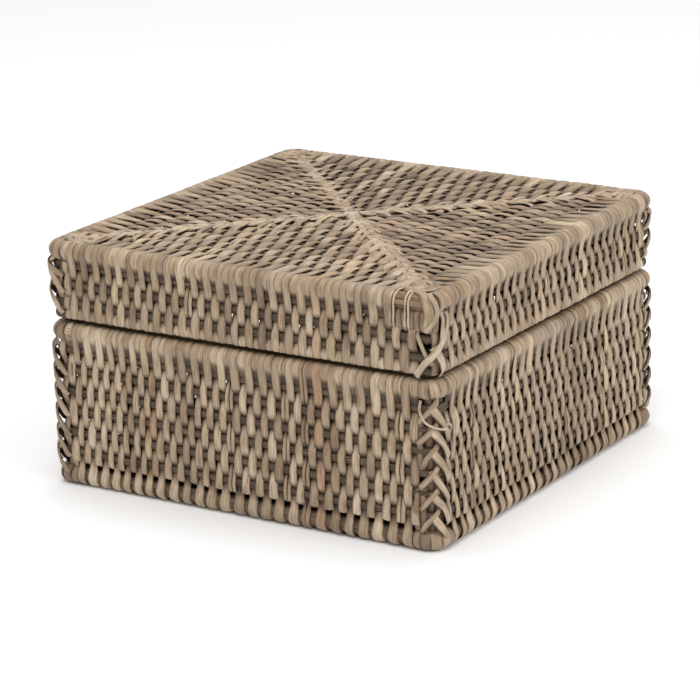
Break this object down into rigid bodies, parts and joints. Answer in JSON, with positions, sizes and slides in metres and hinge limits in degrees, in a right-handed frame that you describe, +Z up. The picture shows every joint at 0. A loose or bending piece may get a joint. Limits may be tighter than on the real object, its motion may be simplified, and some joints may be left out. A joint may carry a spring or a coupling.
{
  "type": "woven lidded box",
  "caption": "Square woven rattan box with a separate flush lift-off lid, core rods bound by split strips and lashed corners.",
  "frame": {"origin": "middle of the underside, on the surface that the box stands on", "axes": "+Z up, front wall faces -Y, right wall faces +X"},
  "size_m": [0.2, 0.2, 0.1118],
  "materials": {
    "rattan_core": "round rattan core, dry and matte, dark brown with a fine lengthwise grain",
    "rattan_strip": "split rattan strip, greyed beige with pinkish and olive strips, dull satin",
    "rattan_lashing": "wider split rattan strip, greyed beige, dull satin",
    "rattan_band": "flat rattan band, brown, matte"
  },
  "bodies": {
    "box": {"box_bottom_rod": "rattan_core", "box_wall_rod_1": "rattan_core", "box_wall_rod_2": "rattan_core", "box_wall_rod_3": "rattan_core", "box_wall_rod_4": "rattan_core", "box_wall_rod_5": "rattan_core", "box_wall_rod_6": "rattan_core", "box_rim_rod": "rattan_core", "box_front_strips": "rattan_strip", "box_right_strips": "rattan_strip", "box_back_strips": "rattan_strip", "box_left_strips": "rattan_strip", "box_front_right_lashing": "rattan_lashing", "box_back_right_lashing": "rattan_lashing", "box_back_left_lashing": "rattan_lashing", "box_front_left_lashing": "rattan_lashing", "base_rod_1": "rattan_core", "base_rod_2": "rattan_core", "base_rod_3": "rattan_core", "base_rod_4": "rattan_core", "base_rod_5": "rattan_core", "base_rod_6": "rattan_core", "base_rod_7": "rattan_core", "base_rod_8": "rattan_core", "base_rod_9": "rattan_core", "base_centre_rod": "rattan_core", "base_front_strips": "rattan_strip", "base_right_strips": "rattan_strip", "base_back_strips": "rattan_strip", "base_left_strips": "rattan_strip", "base_mitre_strips": "rattan_lashing", "box_lid_collar": "rattan_band"},
    "lid": {"lid_rim_rod": "rattan_core", "lid_wall_rod_1": "rattan_core", "lid_wall_rod_2": "rattan_core", "lid_wall_rod_3": "rattan_core", "lid_edge_rod": "rattan_core", "lid_front_strips": "rattan_strip", "lid_right_strips": "rattan_strip", "lid_back_strips": "rattan_strip", "lid_left_strips": "rattan_strip", "lid_front_right_lashing": "rattan_lashing", "lid_back_right_lashing": "rattan_lashing", "lid_back_left_lashing": "rattan_lashing", "lid_front_left_lashing": "rattan_lashing", "lid_top_rod_1": "rattan_core", "lid_top_rod_2": "rattan_core", "lid_top_rod_3": "rattan_core", "lid_top_rod_4": "rattan_core", "lid_top_rod_5": "rattan_core", "lid_top_rod_6": "rattan_core", "lid_top_rod_7": "rattan_core", "lid_top_rod_8": "rattan_core", "lid_top_rod_9": "rattan_core", "lid_top_centre_rod": "rattan_core", "lid_top_front_strips": "rattan_strip", "lid_top_right_strips": "rattan_strip", "lid_top_back_strips": "rattan_strip", "lid_top_left_strips": "rattan_strip", "lid_top_mitre_strips": "rattan_lashing"}
  },
  "joints": [
    {"name": "lid_lift", "type": "slide", "parent": "box", "child": "lid", "axis": [0, 0, 1], "range_m": [0, 0.12]}
  ]
}
